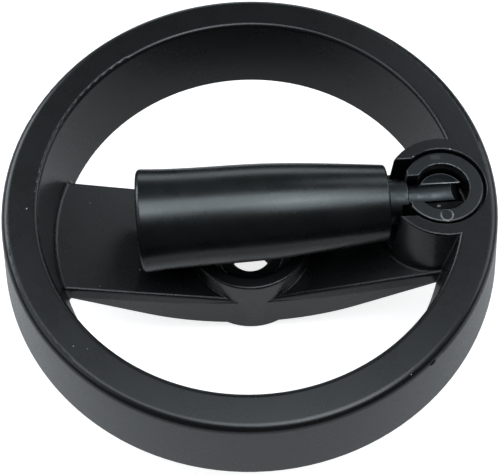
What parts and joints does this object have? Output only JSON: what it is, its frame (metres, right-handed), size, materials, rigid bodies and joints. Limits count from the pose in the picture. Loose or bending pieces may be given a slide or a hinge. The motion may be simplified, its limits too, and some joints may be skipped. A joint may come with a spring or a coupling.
{
  "type": "handwheel",
  "caption": "Solid-rim two-spoke machine handwheel in black moulded plastic, with a dished hub and a tapered revolving grip that folds away into the wheel.",
  "frame": {"origin": "centre of the hub's back face, on the wheel's axis", "axes": "+Z along the wheel's axis towards the operator, +X from the axis to the handle's socket along the spokes"},
  "size_m": [0.16, 0.16, 0.0639],
  "materials": {
    "moulding": "semi-gloss black moulding",
    "grip_plastic": "semi-gloss black moulding",
    "cap_plastic": "satin black",
    "black_steel": "blackened, satin",
    "spindle_steel": "blackened, turned and milled",
    "bush_steel": "blackened, turned",
    "bright_steel": "zinc plated",
    "spring_steel": "drawn spring wire"
  },
  "bodies": {
    "wheel": {"wheel_body": "moulding", "hub_bush": "bush_steel", "guide_sleeve": "black_steel", "sleeve_pin": "black_steel", "plunger_spring": "spring_steel"},
    "plunger": {"clevis_plunger": "black_steel", "hinge_pin": "bright_steel", "spring_washer": "bright_steel", "lock_nut": "bright_steel"},
    "handle": {"handle_spindle": "spindle_steel", "grip_washer": "bright_steel", "snap_ring": "black_steel"},
    "grip": {"grip": "grip_plastic", "grip_cap": "cap_plastic"}
  },
  "joints": [
    {"name": "plunger_slide", "type": "slide", "parent": "wheel", "child": "plunger", "axis": [0, 0, 1], "range_m": [0, 0.0035], "stiffness_N_per_m": 3900, "springref_m": -0.002, "deforming": ["plunger_spring"]},
    {"name": "handle_fold", "type": "hinge", "parent": "plunger", "child": "handle", "pos_m": [0.06, 0, 0.0485], "axis": [-0.0349, 0.9994, 0], "range_deg": [0, 90.5]},
    {"name": "grip_spin", "type": "hinge", "parent": "handle", "child": "grip", "pos_m": [0.06, 0, 0.0485], "axis": [-0.9994, -0.0349, -0.0087], "continuous": true}
  ]
}
